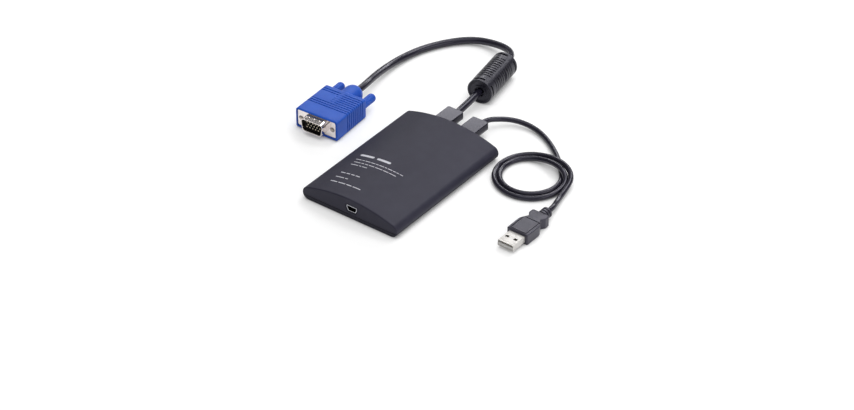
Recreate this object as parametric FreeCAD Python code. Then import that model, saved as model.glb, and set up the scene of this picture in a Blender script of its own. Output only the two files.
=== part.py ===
import FreeCAD, Part
import math
import os

# Crash cart adapter: a slim case with a mini socket in front and two captive leads behind.
# Frame in millimetres: X across the case, Y from the socket end to the leads, Z up, origin under the case.

V = FreeCAD.Vector

# Case
case_width = 76.0
case_length = 110.0
case_height = 15.0
nose_radius = 4.8
wall = 2.0
seam_height = 3.2
seam_groove = 0.4
end_edge_radius = 0.8
lip_height = 1.9
lip_thickness = 1.0
fit_gap = 0.1

# How far a cutting tool runs past what it cuts
overrun = 1.0

# Case screws, their posts and bosses
screw_side_inset = 14.0
screw_end_inset = 12.0
screw_diameter = 2.5
screw_head_diameter = 4.6
screw_head_height = 1.4
screw_head_recess = 0.5
screw_socket_width = 1.5
screw_socket_depth = 0.8
screw_tip_gap = 0.6
thread_gap = 0.05
post_diameter = 7.6
post_height = 2.2
boss_diameter = 6.0

# Main board and what stands on it
board_thickness = 1.6
board_side_gap = 0.8
board_rear_gap = 1.5
chip_lead_pitch = 1.6
chip_lead_width = 0.6
chip_lead_reach = 1.1
chip_lead_thickness = 0.2
chip_standoff = 0.15
video_chip_size = 14.0
video_chip_height = 1.4
video_chip_at = V(-9.0, 6.0, 0)
memory_chip_width = 9.0
memory_chip_length = 18.0
memory_chip_height = 1.1
memory_chip_at = V(14.0, 8.0, 0)
usb_chip_size = 9.0
usb_chip_height = 1.0
usb_chip_x = 2.0
usb_chip_from_front = 27.0
crystal_length = 11.0
crystal_width = 4.5
crystal_height = 3.4
crystal_end_radius = 2.1
crystal_x = 17.0
crystal_from_front = 27.0
capacitor_diameter = 5.0
capacitor_height = 4.4
capacitor_base_height = 0.9
capacitor_edge = 0.4
capacitor_pitch = 7.5
capacitor_count = 3
capacitor_x = -14.0
capacitor_from_front = 21.0
header_depth = 6.0
header_height = 5.4
header_latch_inset = 2.5
header_latch_depth = 2.0
header_latch_height = 0.7
video_header_width = 13.0
usb_header_width = 8.0
wire_diameter = 1.1
wire_pitch = 1.7
wire_length = 7.0
video_wire_count = 6
usb_wire_count = 4

# Mini socket in the front end
port_x = 2.0
port_width = 7.9
port_narrow_width = 5.6
port_height = 4.0
port_shoulder_height = 2.2
port_corner_radius = 0.4
port_depth = 9.2
port_setback = 0.3
port_skin = 0.3
port_lip = 0.1
port_lip_length = 0.5
port_opening_gap = 0.8
tongue_width = 3.6
tongue_thickness = 0.9
tongue_height = 1.75
tongue_setback = 1.6
port_contact_setback = 0.8
port_contact_count = 5
port_contact_pitch = 0.7
port_contact_width = 0.35
contact_thickness = 0.2

# Strain reliefs in the rear wall
relief_x = 10.2
relief_z = 6.8
relief_width = 12.8
relief_foot_width = 14.8
relief_height = 7.6
relief_length = 18.0
relief_top_radius = 0.5
relief_under_radius = 4.6
relief_end_radius = 3.0
relief_heel_radius = 2.5
relief_neck_inset = 1.1
relief_flange_thickness = 2.5

# Leads
video_cord_diameter = 5.0
usb_cord_diameter = 3.6
arc_share = 0.45

# Ferrite on the video lead
ferrite_start = V(-11.1, 100.4, 0)
ferrite_yaw = 9.4
ferrite_diameter = 18.2
ferrite_length = 39.0
ferrite_wall = 2.2
ferrite_rim = 1.1
ferrite_dish_depth = 0.8
ferrite_collar_diameter = 9.4
ferrite_mouth_diameter = 7.2
ferrite_mouth_depth = 1.6
ferrite_core_bore = 6.4
ferrite_end_wall = 5.0
ferrite_edge_radius = 0.5
rib_gap_count = 10
rib_pitch = 2.5
rib_gap_width = 0.9
rib_gap_depth = 0.5
rib_panel_count = 4
rib_panel_angle = 72.0
rib_panel_turn = -9.0
ferrite_slot_angle = 56.0
ferrite_slot_width = 1.5
ferrite_slot_inset = 2.0
ferrite_slot_depth = 1.4
clip_pit_size = 1.5
clip_pit_depth = 1.2
clip_pit_spacing = 12.5
clip_pit_angle = 22.5
clip_seam_angles = (36.0, 216.0)

# Video plug, in its own frame: origin at the middle of the flange's front face, Y towards the lead
video_plug_at = V(-75.3, 6.7, 8.1)
video_plug_yaw = 3.1
video_body_front_width = 33.4
video_body_rear_width = 32.4
video_body_length = 34.0
video_body_below = 8.1
video_body_above = 7.0
video_body_lip = 0.6
video_body_edge_radius = 1.6
video_body_front_radius = 0.8
video_body_rear_radius = 1.0
grip_groove_count = 9
grip_groove_first = 11.4
grip_groove_pitch = 2.22
grip_groove_width = 0.8
grip_groove_depth = 0.4
grip_full_in_front = 3
grip_full_behind = 2
grip_panel_edge = 2.0
dome_diameter = 13.9
dome_length = 14.0
dome_flat_margin = 0.35
flange_width = 30.8
flange_height = 12.2
flange_thickness = 1.0
flange_corner_radius = 1.2
screw_spacing = 25.0
d_width = 18.2
d_height = 9.6
d_slant = 10.0
d_corner_radius = 2.6
d_reach = 5.8
d_skin = 0.55
d_flare = 0.4
dimple_count = 3
dimple_pitch = 4.0
dimple_radius = 0.9
dimple_setback = 2.6
insulator_front_setback = 4.2
insulator_rear_width = 18.6
insulator_rear_height = 9.6
insulator_rear_depth = 6.0
insulator_corner_radius = 1.2
pin_diameter = 0.9
pin_tip_chamfer = 0.22
pin_pitch = 2.29
pin_row_pitch = 1.98
pins_in_row = 5
pin_row_count = 3
pin_tip_setback = 1.8
pin_rear_depth = 3.6
jackscrew_diameter = 2.84
jackscrew_tip_chamfer = 0.55
jackscrew_reach = 0.8
jackscrew_hole_gap = 0.35
jackscrew_gap = 0.08
jackscrew_knob_depth = 7.0
knob_diameter = 6.2
knob_length = 15.1
knob_seat_depth = 2.0
knob_gap = 0.3
knob_flute_count = 10
knob_flute_radius = 0.5
knob_flute_depth = 0.2
knob_end_radius = 2.2

# Type-A plug, in its own frame: origin at the middle of the shell's mouth, Y towards the lead
usb_plug_at = V(99.4, -23.2, 3.9)
usb_plug_yaw = -0.6
usb_shell_width = 12.0
usb_shell_height = 4.5
usb_shell_skin = 0.3
usb_shell_corner = 0.55
usb_shell_shown = 12.4
usb_shell_held = 6.0
usb_window_width = 2.5
usb_window_length = 2.0
usb_window_spacing = 6.4
usb_window_from_mouth = 6.4
usb_tongue_thickness = 1.95
usb_tongue_setback = 0.6
usb_contact_count = 4
usb_contact_pitch = 2.25
usb_contact_width = 1.2
usb_contact_length = 8.5
usb_contact_setback = 1.4
usb_body_width = 16.0
usb_body_height = 7.8
usb_body_straight = 13.2
usb_body_taper = 5.6
usb_waist_width = 9.4
usb_ear_width = 13.2
usb_ear_rise = 2.8
usb_ear_thickness = 4.4
usb_front_radius = 0.8
usb_shoulder_radius = 5.0
usb_waist_radius = 1.0
usb_ear_front_radius = 0.8
usb_ear_rear_radius = 1.5
usb_body_edge_radius = 0.8
usb_panel_rim = 1.7
usb_panel_front = 0.9
usb_panel_length = 16.0
usb_panel_groove_width = 0.6
usb_panel_groove_depth = 0.6
usb_boot_diameter = 7.4
usb_boot_ring_count = 3
usb_boot_ring_length = 1.4
usb_boot_gap_length = 0.8
usb_boot_gap_depth = 1.0

# Loose turns of the thin lead: the hole lies a little aside of the middle
coil_center = V(67.8, 50.5, 0)
coil_outer_radius = 26.7
coil_hole_radius = 18.0
coil_hole_shift = V(-0.8, -1.0, 0)
coil_rim_edge = 1.1


def box(low, high):
    """Block between two opposite corners."""
    size = high - low
    return Part.makeBox(size.x, size.y, size.z, low)


def rod(radius, start, end):
    """Round bar between two points."""
    return Part.makeCylinder(radius, (end - start).Length, start, end - start)


def cut_all(solid, tools):
    """The solid with a list of tools taken away, as one clean shape."""
    return solid.cut(tools).removeSplitter()


def fuse_all(solid, others):
    """The solid joined with a list of others, as one clean shape."""
    return solid.fuse(others).removeSplitter()


def rounded_outline(corners, radii):
    """Closed outline through the corners, each one rounded by its own tangent arc."""
    stretches = []
    for i, corner in enumerate(corners):
        back = (corners[i - 1] - corner).normalize()
        ahead = (corners[(i + 1) % len(corners)] - corner).normalize()
        half = back.getAngle(ahead) / 2
        reach = radii[i] / math.tan(half)
        tip = corner + (back + ahead).normalize() * (radii[i] / math.sin(half) - radii[i])
        stretches.append((corner + back * reach, tip, corner + ahead * reach))
    edges = []
    for i, (start, tip, end) in enumerate(stretches):
        following = stretches[(i + 1) % len(stretches)][0]
        edges.append(Part.Arc(start, tip, end).toShape())
        edges.append(Part.LineSegment(end, following).toShape())
    return Part.Wire(edges)


def upright_rectangle(width, height, radius, y):
    """Rounded rectangle that stands across the Y axis, as a face."""
    x, z = width / 2, height / 2
    corners = [V(-x, y, -z), V(x, y, -z), V(x, y, z), V(-x, y, z)]
    return Part.Face(rounded_outline(corners, [radius] * 4))


def bar_along_y(face, length):
    """A face drawn out along Y."""
    return face.extrude(V(0, length, 0))


def edges_at_height(solid, heights):
    """Edges that lie flat at one of the heights."""
    return [edge for edge in solid.Edges
            if any(abs(edge.BoundBox.ZMin - z) < 1e-4 and abs(edge.BoundBox.ZMax - z) < 1e-4 for z in heights)]


def rims_across_y(solid, y):
    """Round edges of a bar along Y, at one place on it."""
    return [edge for edge in solid.Edges if edge.Closed and abs(edge.CenterOfMass.y - y) < 1e-4]


def set_down(solid, place, yaw):
    """A piece of a plug or ferrite, turned about Z and put in its place."""
    moved = solid.copy()
    moved.rotate(V(0, 0, 0), V(0, 0, 1), yaw)
    moved.translate(place)
    return moved


def point_set_down(point, place, yaw):
    """A point of a plug or ferrite, turned about Z and put in its place."""
    return FreeCAD.Rotation(V(0, 0, 1), yaw).multVec(point) + place


def save(name, solid):
    """Writes one piece, after a look at its health."""
    if not solid.isValid():
        print("not valid:", name)
    solid.exportStep(f"parts/{name}.step")
    print(f"{name}: {len(solid.Solids)} solid(s), {solid.Volume:.1f} mm3")


# Heights and places that several pieces share
half_length = case_length / 2
nose_x = case_width / 2 - nose_radius
crown = case_height - nose_radius
top_radius = (nose_x**2 + crown**2 - nose_radius**2) / (2 * (crown - nose_radius))
floor_top = wall
board_bottom = floor_top + post_height
board_top = board_bottom + board_thickness
relief_face_y = half_length + relief_length
relief_inner_y = half_length - wall - relief_flange_thickness
lip_top = seam_height + lip_height
screw_x = case_width / 2 - screw_side_inset
screw_y = half_length - screw_end_inset
screw_places = [V(sx * screw_x, sy * screw_y, 0) for sx in (-1, 1) for sy in (-1, 1)]
usb_chip_at = V(usb_chip_x, usb_chip_from_front - half_length, 0)
crystal_at = V(crystal_x, crystal_from_front - half_length, 0)
capacitor_at = V(capacitor_x, capacitor_from_front - half_length, 0)


def case_outline(inset, y):
    """Cross section of the case, moved inwards: flat below, round noses, one wide arc above."""
    radius = nose_radius - inset
    lean = math.atan2(nose_x, nose_radius - (case_height - top_radius))
    low_right = V(nose_x, y, inset)
    low_left = V(-nose_x, y, inset)
    shoulder_x = nose_x + radius * math.sin(lean)
    shoulder_z = nose_radius + radius * math.cos(lean)
    high_right = V(shoulder_x, y, shoulder_z)
    high_left = V(-shoulder_x, y, shoulder_z)
    return Part.Wire([
        Part.LineSegment(low_left, low_right).toShape(),
        Part.Arc(low_right, V(nose_x + radius, y, nose_radius), high_right).toShape(),
        Part.Arc(high_right, V(0, y, case_height - inset), high_left).toShape(),
        Part.Arc(high_left, V(-nose_x - radius, y, nose_radius), low_left).toShape(),
    ])


def case_block(inset):
    """The case as a solid bar, moved inwards on every side."""
    start = -half_length + inset
    return bar_along_y(Part.Face(case_outline(inset, start)), case_length - 2 * inset)


def cavity_top(x):
    """Height of the roof inside the case."""
    return case_height - top_radius + math.sqrt((top_radius - wall)**2 - x**2)


def cavity_half_width(z):
    """Half the width inside the case, at a height beside the noses."""
    return nose_x + math.sqrt((nose_radius - wall)**2 - (z - nose_radius)**2)


def case_skin():
    """The outside of the case, with its end edges eased."""
    block = case_block(0)
    ends = [edge for edge in block.Edges
            if abs(abs(edge.CenterOfMass.y) - half_length) < 1e-4]
    return block.makeFillet(end_edge_radius, ends)


def level_slab(low_z, high_z):
    """A slab wider and longer than the case, between two heights."""
    reach = V(case_width, case_length, 0)
    return box(V(0, 0, low_z) - reach, V(0, 0, high_z) + reach)


def relief_neck(side, gap):
    """The neck of a strain relief, which fills its slot in the rear wall."""
    half = relief_width / 2 - relief_neck_inset + gap
    top = relief_z + relief_height / 2 - relief_neck_inset + gap
    low = V(side * relief_x - half, half_length - wall, seam_height)
    return box(low, V(side * relief_x + half, half_length, top))


def relief_flange(side, gap):
    """The flange of a strain relief, which lies behind the rear wall."""
    half = relief_width / 2 + gap
    low = V(side * relief_x - half, relief_inner_y - gap, seam_height - gap)
    return box(low, V(side * relief_x + half, half_length - wall, relief_z + relief_height / 2 + gap))


def port_outline(grow, y):
    """Outline of the mini socket: wide above, with its lower corners cut back."""
    top = board_top + port_height + grow
    bottom = board_top - grow
    shoulder = board_top + port_shoulder_height
    wide = port_width / 2 + grow
    narrow = port_narrow_width / 2 + grow
    right = [V(port_x + narrow, y, bottom), V(port_x + wide, y, shoulder), V(port_x + wide, y, top)]
    left = [V(2 * port_x - p.x, y, p.z) for p in reversed(right)]
    return Part.Face(rounded_outline(right + left, [port_corner_radius + max(grow, 0)] * 6))


def make_top_cover():
    """Arched upper half: roof, noses and end walls, with bosses and the openings of socket and leads."""
    skin = case_skin()
    shell = skin.cut([case_block(wall), level_slab(-overrun, seam_height)])
    bosses = []
    pilots = []
    for place in screw_places:
        seat = place + V(0, 0, board_top)
        boss = rod(boss_diameter / 2, seat, place + V(0, 0, case_height))
        bosses.append(boss.common(case_block(wall / 2)))
        tip = place + V(0, 0, cavity_top(screw_x) - screw_tip_gap / 2)
        pilots.append(rod(screw_diameter / 2 + thread_gap, place, tip))
    cover = fuse_all(shell, bosses)
    reveal = skin.common(level_slab(seam_height, seam_height + seam_groove)).cut(case_block(seam_groove))
    opening = bar_along_y(port_outline(port_opening_gap, -half_length - overrun), wall + 2 * overrun)
    slots = [relief_neck(side, fit_gap) for side in (-1, 1)]
    return cut_all(cover, pilots + [reveal, opening] + slots)


def make_bottom_cover():
    """Shallow tray: floor, rim and locating lip, with a post at each screw."""
    skin = case_skin().common(level_slab(-overrun, seam_height))
    tray = skin.cut(case_block(wall))
    lip_x = cavity_half_width(seam_height) - fit_gap
    lip_y = half_length - wall - fit_gap
    lip = box(V(-lip_x, -lip_y, floor_top), V(lip_x, lip_y, lip_top))
    inside = V(lip_x - lip_thickness, lip_y - lip_thickness, 0)
    lip = lip.cut(box(V(0, 0, floor_top) - inside, V(0, 0, lip_top) + inside))
    lip = lip.cut([relief_flange(side, fit_gap) for side in (-1, 1)])
    posts = [rod(post_diameter / 2, place + V(0, 0, floor_top / 2), place + V(0, 0, board_bottom))
             for place in screw_places]
    tray = fuse_all(tray, [lip] + posts)
    head_seat = V(0, 0, screw_head_recess + screw_head_height)
    past = V(0, 0, overrun)
    holes = []
    for place in screw_places:
        holes.append(rod(screw_head_diameter / 2 + fit_gap, place - past, place + head_seat))
        holes.append(rod(screw_diameter / 2 + fit_gap, place, place + V(0, 0, board_bottom) + past))
    return cut_all(tray, holes)


def make_case_screws():
    """Four pan-head screws with a hexagon socket, put in from below."""
    screws = []
    for place in screw_places:
        low = place + V(0, 0, screw_head_recess)
        seat = low + V(0, 0, screw_head_height)
        head = rod(screw_head_diameter / 2, low, seat)
        shank = rod(screw_diameter / 2, seat, place + V(0, 0, cavity_top(screw_x) - screw_tip_gap))
        corners = [low + V(math.cos(math.radians(60 * i)), math.sin(math.radians(60 * i)), 0)
                   * (screw_socket_width / math.sqrt(3)) for i in range(7)]
        socket = Part.Face(Part.makePolygon(corners)).extrude(V(0, 0, screw_socket_depth))
        screws.append(head.fuse(shank).removeSplitter().cut(socket))
    return Part.makeCompound(screws)


def make_main_board():
    """Circuit board on the posts, with holes for the case screws."""
    half = cavity_half_width(seam_height) - fit_gap - lip_thickness - board_side_gap
    front = -half_length + wall + fit_gap + lip_thickness + board_side_gap
    board = box(V(-half, front, board_bottom), V(half, relief_inner_y - board_rear_gap, board_top))
    holes = [rod(screw_diameter / 2 + fit_gap, place, place + V(0, 0, case_height)) for place in screw_places]
    return cut_all(board, holes)


def chip(place, width, length, height, sides):
    """Flat chip with gull-wing leads along the sides that are named by their direction."""
    low = place + V(-width / 2, -length / 2, board_top + chip_standoff)
    solid = box(low, low + V(width, length, height))
    leads = []
    lead_rise = chip_standoff + height / 2
    for side in sides:
        along = V(abs(side.y), abs(side.x), 0)
        edge_length = width if side.y else length
        edge = place + V(side.x * width / 2, side.y * length / 2, board_top)
        count = int((edge_length - chip_lead_pitch) // chip_lead_pitch)
        for i in range(count):
            foot = edge + along * ((i - (count - 1) / 2) * chip_lead_pitch)
            half = along * (chip_lead_width / 2)
            shelf = foot + V(0, 0, lead_rise)
            outer = side * (chip_lead_reach / 2)
            profile = [foot + outer, foot + side * chip_lead_reach,
                       foot + side * chip_lead_reach + V(0, 0, chip_lead_thickness),
                       foot + outer + V(0, 0, chip_lead_thickness) + side * chip_lead_thickness,
                       shelf + outer + side * chip_lead_thickness, shelf - side * chip_lead_thickness,
                       shelf - side * chip_lead_thickness - V(0, 0, chip_lead_thickness),
                       shelf + outer - V(0, 0, chip_lead_thickness)]
            face = Part.Face(Part.makePolygon([p - half for p in profile + profile[:1]]))
            leads.append(face.extrude(half * 2))
    return fuse_all(solid, leads)


def make_crystal():
    """Low metal can of the crystal, round at both ends."""
    x, y = crystal_length / 2, crystal_width / 2
    corners = [crystal_at + V(sx * x, sy * y, board_top) for sx, sy in ((-1, -1), (1, -1), (1, 1), (-1, 1))]
    return Part.Face(rounded_outline(corners, [crystal_end_radius] * 4)).extrude(V(0, 0, crystal_height))


def make_capacitors():
    """A row of round can capacitors, each on its square base."""
    cans = []
    for i in range(capacitor_count):
        foot = capacitor_at + V(0, i * capacitor_pitch, board_top)
        half = V(capacitor_diameter / 2, capacitor_diameter / 2, 0)
        base_height = V(0, 0, capacitor_base_height)
        can = rod(capacitor_diameter / 2, foot + base_height, foot + V(0, 0, capacitor_height))
        can = can.makeChamfer(capacitor_edge, edges_at_height(can, [board_top + capacitor_height]))
        cans.append(fuse_all(box(foot - half, foot + half + base_height), [can]))
    return Part.makeCompound(cans)


def header_rear_y():
    """Rear face of the wire connectors, where the wires go in."""
    return relief_inner_y - wire_length


def make_header(side, width):
    """Wire connector on the board: a housing with a raised latch along its top."""
    rear = header_rear_y()
    low = V(side * relief_x - width / 2, rear - header_depth, board_top)
    housing = box(low, low + V(width, header_depth, header_height))
    foot = low + V(header_latch_inset, (header_depth - header_latch_depth) / 2, header_height)
    latch = box(foot, foot + V(width - 2 * header_latch_inset, header_latch_depth, header_latch_height))
    return fuse_all(housing, [latch])


def make_wires(side, count):
    """Straight wires from a strain relief's inner face to its connector."""
    wires = []
    height = board_top + header_height / 2
    for i in range(count):
        x = side * relief_x + (i - (count - 1) / 2) * wire_pitch
        wires.append(rod(wire_diameter / 2, V(x, header_rear_y(), height), V(x, relief_inner_y, height)))
    return Part.makeCompound(wires)


def make_port_shell():
    """Folded metal shell of the mini socket, open in front, with a flared lip."""
    mouth = -half_length + port_setback
    outside = bar_along_y(port_outline(0, mouth), port_depth)
    lip = bar_along_y(port_outline(port_lip, mouth), port_lip_length)
    lip = lip.common(level_slab(board_top, case_height))
    inside = bar_along_y(port_outline(-port_skin, mouth), port_depth - port_skin)
    return cut_all(fuse_all(outside, [lip]), [inside])


def port_tongue_box():
    """Corners of the socket's tongue, which stands out of its rear wall."""
    mouth = -half_length + port_setback
    underside = board_top + tongue_height
    low = V(port_x - tongue_width / 2, mouth + tongue_setback, underside)
    high = V(port_x + tongue_width / 2, mouth + port_depth - port_skin, underside + tongue_thickness)
    return low, high


def make_port_tongue():
    """Plastic tongue in the middle of the mini socket."""
    low, high = port_tongue_box()
    return box(low, high)


def make_port_contacts():
    """Contact strips that lie under the tongue."""
    low, high = port_tongue_box()
    strips = []
    for i in range(port_contact_count):
        x = port_x + (i - (port_contact_count - 1) / 2) * port_contact_pitch
        near = V(x - port_contact_width / 2, low.y + port_contact_setback, low.z - contact_thickness)
        strips.append(box(near, V(x + port_contact_width / 2, high.y, low.z)))
    return Part.makeCompound(strips)


def make_strain_relief(side):
    """Moulded cable block behind the case: flat above, round below, with a neck and flange in the wall."""
    middle = V(side * relief_x, half_length, relief_z)
    top, x, z = relief_width / 2, relief_foot_width / 2, relief_height / 2
    section = [middle + V(-x, 0, -z), middle + V(x, 0, -z), middle + V(top, 0, z), middle + V(-top, 0, z)]
    radii = [relief_under_radius] * 2 + [relief_top_radius] * 2
    block = bar_along_y(Part.Face(rounded_outline(section, radii)), relief_length)
    plan = [middle + V(-x, -relief_length, -z), middle + V(x, -relief_length, -z),
            middle + V(x, relief_length, -z), middle + V(-x, relief_length, -z)]
    block = block.common(Part.Face(rounded_outline(plan, [relief_end_radius] * 4)).extrude(V(0, 0, 2 * z)))
    profile = [middle + V(-x, -relief_length, -z), middle + V(-x, relief_length, -z),
               middle + V(-x, relief_length, 3 * z), middle + V(-x, -relief_length, 3 * z)]
    block = block.common(Part.Face(rounded_outline(profile, [relief_heel_radius] * 4)).extrude(V(2 * x, 0, 0)))
    return fuse_all(block, [relief_neck(side, 0), relief_flange(side, 0)])


def cord_tube(name, points, diameter):
    """Lead along straight runs that are joined by the largest tangent arcs their lengths allow."""
    edges = []
    radii = []
    start = points[0]
    for before, corner, after in zip(points, points[1:], points[2:]):
        back = before - corner
        ahead = after - corner
        reach = arc_share * min(back.Length, ahead.Length)
        back.normalize()
        ahead.normalize()
        half_turn = (math.pi - back.getAngle(ahead)) / 2
        radius = reach / math.tan(half_turn)
        tip = corner + (back + ahead).normalize() * (radius / math.cos(half_turn) - radius)
        edges.append(Part.LineSegment(start, corner + back * reach).toShape())
        edges.append(Part.Arc(corner + back * reach, tip, corner + ahead * reach).toShape())
        start = corner + ahead * reach
        radii.append(round(radius, 1))
    edges.append(Part.LineSegment(start, points[-1]).toShape())
    path = Part.Wire(edges)
    circle = Part.Wire(Part.makeCircle(diameter / 2, points[0], points[1] - points[0]))
    tube = path.makePipeShell([circle], True, False)
    expected = math.pi * diameter**2 / 4 * path.Length
    print(f"{name}: length {path.Length:.1f}, volume {tube.Volume / expected:.4f} of section times length")
    print(f"{name}: arc radii {radii}")
    return tube


# Routes of the leads: the ends lie on the strain reliefs and the plugs, the points between are chosen by hand
dome_flat_radius = video_cord_diameter / 2 + dome_flat_margin
dome_middle = video_body_length + dome_length - dome_diameter / 2
dome_end = dome_middle + math.sqrt((dome_diameter / 2)**2 - dome_flat_radius**2)
usb_body_front = usb_shell_shown
usb_waist_y = usb_body_front + usb_body_straight + usb_body_taper
usb_body_end = usb_waist_y + usb_ear_rise + usb_ear_thickness
usb_boot_end = usb_body_end + usb_boot_ring_count * (usb_boot_ring_length + usb_boot_gap_length)

video_route = [
    V(-relief_x, relief_face_y, relief_z),
    V(-10.2, 81.0, 6.8),
    V(-10.5, 91.0, 8.4),
    V(-11.6, 103.4, 9.1),
    V(-13.75, 116.2, 9.15),
    V(-15.83, 129.0, 9.1),
    V(-17.47, 138.9, 9.1),
    V(-19.1, 147.6, 8.8),
    V(-24.2, 154.4, 7.9),
    V(-33.0, 158.5, 6.3),
    V(-42.8, 160.0, 4.6),
    V(-53.2, 159.0, 3.4),
    V(-62.9, 153.6, 2.7),
    V(-72.4, 141.8, 2.5),
    V(-79.8, 126.8, 2.5),
    V(-83.2, 110.4, 3.0),
    V(-83.5, 94.2, 4.3),
    V(-81.5, 77.8, 6.3),
    V(-78.37, 63.4, 8.1),
    point_set_down(V(0, dome_end, 0), video_plug_at, video_plug_yaw),
]
usb_lead_route = [
    V(relief_x, relief_face_y, relief_z),
    V(10.2, 79.0, 6.8),
    V(14.5, 86.2, 5.4),
    V(21.5, 92.6, 4.3),
    V(31.0, 95.6, 3.2),
    V(42.0, 94.6, 2.3),
    V(52.5, 89.8, 1.9),
    V(62.5, 83.0, 1.8),
    V(70.6, 76.0, 1.8),
]
usb_tail_route = [
    V(93.4, 52.5, 1.8),
    V(95.2, 43.5, 1.9),
    V(97.8, 34.5, 2.8),
    V(99.93, 27.6, 3.9),
    point_set_down(V(0, usb_boot_end, 0), usb_plug_at, usb_plug_yaw),
]


def make_usb_cord_coil():
    """Outer form of the loose turns: a flat ring with eased rims, lying on the table."""
    up = V(0, 0, usb_cord_diameter)
    hole = coil_center + coil_hole_shift
    ring = rod(coil_outer_radius, coil_center, coil_center + up).cut(rod(coil_hole_radius, hole, hole + up))
    return ring.makeChamfer(coil_rim_edge, edges_at_height(ring, [0, usb_cord_diameter]))


def ring_about_y(outer, inner, start, length):
    """Round ring about the Y axis."""
    low, high = V(0, start, 0), V(0, start + length, 0)
    return rod(outer, low, high).cut(rod(inner, low, high))


def wedge_about_y(radius, middle, angle, start, length):
    """Sector of a round bar about the Y axis, measured from straight up."""
    sector = Part.makeCylinder(radius, length, V(0, start, 0), V(0, 1, 0), angle)
    first = (sector.CenterOfMass - V(0, sector.CenterOfMass.y, 0))
    turn = math.degrees(math.atan2(first.x, first.z))
    sector.rotate(V(0, 0, 0), V(0, 1, 0), middle - turn)
    return sector


def ferrite_core_ends():
    """Where the ferrite core starts and ends along its sleeve."""
    return ferrite_end_wall, ferrite_length - ferrite_end_wall


def make_ferrite_core():
    """Ferrite cylinder with a hole for the lead."""
    start, end = ferrite_core_ends()
    core_radius = ferrite_diameter / 2 - ferrite_wall - fit_gap
    core = ring_about_y(core_radius, ferrite_core_bore / 2, start, end - start)
    return set_down(core, ferrite_start + V(0, 0, ferrite_diameter / 2), ferrite_yaw)


def ferrite_end_dish(end, inwards):
    """Shallow ring that is taken out of one end of the sleeve, around the collar."""
    rim = ferrite_diameter / 2 - ferrite_rim
    collar = ferrite_collar_diameter / 2
    floor = end + inwards * ferrite_dish_depth
    outline = [V(collar, end, 0), V(rim, end, 0), V(rim - ferrite_dish_depth, floor, 0), V(collar, floor, 0),
               V(collar, end, 0)]
    return Part.Face(Part.makePolygon(outline)).revolve(V(0, 0, 0), V(0, 1, 0), 360)


def clip_pit(angle, middle):
    """Small square pit in the sleeve, at an angle from straight up."""
    half = clip_pit_size / 2
    depth = ferrite_diameter / 2 - clip_pit_depth
    pit = box(V(-half, middle - half, depth), V(half, middle + half, ferrite_diameter))
    pit.rotate(V(0, 0, 0), V(0, 1, 0), angle)
    return pit


def make_ferrite_sleeve():
    """Moulded sleeve: rib panels between smooth bands, slots near both ends, pits beside the clip seams."""
    radius = ferrite_diameter / 2
    sleeve = rod(radius, V(0, 0, 0), V(0, ferrite_length, 0))
    sleeve = sleeve.makeFillet(ferrite_edge_radius, [edge for edge in sleeve.Edges if edge.Closed])
    start, end = ferrite_core_ends()
    hollow = rod(radius - ferrite_wall, V(0, start, 0), V(0, end, 0))
    past_end = V(0, ferrite_length + overrun, 0)
    bore = rod(video_cord_diameter / 2, V(0, -overrun, 0), past_end)
    tools = [hollow, bore, ferrite_end_dish(0, 1), ferrite_end_dish(ferrite_length, -1)]
    mouth_floor = V(0, ferrite_length - ferrite_mouth_depth, 0)
    tools.append(rod(ferrite_mouth_diameter / 2, V(0, -overrun, 0), V(0, ferrite_mouth_depth, 0)))
    tools.append(rod(ferrite_mouth_diameter / 2, mouth_floor, past_end))
    sleeve = cut_all(sleeve, tools)
    rib_span = (rib_gap_count - 1) * rib_pitch + rib_gap_width
    first_gap = (ferrite_length - rib_span) / 2
    cuts = []
    for panel in range(rib_panel_count):
        middle = rib_panel_turn + panel * 360 / rib_panel_count
        for i in range(rib_gap_count):
            low = first_gap + i * rib_pitch
            sector = wedge_about_y(radius + overrun, middle, rib_panel_angle, low, rib_gap_width)
            cuts.append(sector.cut(rod(radius - rib_gap_depth, V(0, low, 0), V(0, low + rib_gap_width, 0))))
        for low in (ferrite_slot_inset, ferrite_length - ferrite_slot_inset - ferrite_slot_width):
            sector = wedge_about_y(radius + overrun, middle, ferrite_slot_angle, low, ferrite_slot_width)
            floor = rod(radius - ferrite_slot_depth, V(0, low, 0), V(0, low + ferrite_slot_width, 0))
            cuts.append(sector.cut(floor))
    for seam in clip_seam_angles:
        for angle in (seam - clip_pit_angle, seam + clip_pit_angle):
            for low in ((ferrite_length - clip_pit_spacing) / 2, (ferrite_length + clip_pit_spacing) / 2):
                cuts.append(clip_pit(angle, low))
    sleeve = sleeve.cut(cuts)
    return set_down(sleeve, ferrite_start + V(0, 0, radius), ferrite_yaw)


def video_block(inset):
    """Main block of the video plug's moulding, moved inwards: narrower behind, with eased edges."""
    front, rear = video_body_front_width / 2 - inset, video_body_rear_width / 2 - inset
    low, high = -video_body_below + inset, video_body_above - inset
    start, end = -video_body_lip, video_body_length
    corners = [V(-front, start, low), V(front, start, low), V(rear, end, low), V(-rear, end, low)]
    radii = [video_body_front_radius] * 2 + [video_body_rear_radius] * 2
    block = Part.Face(rounded_outline(corners, radii)).extrude(V(0, 0, high - low))
    return block.makeFillet(video_body_edge_radius - inset, edges_at_height(block, [low, high]))


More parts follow.
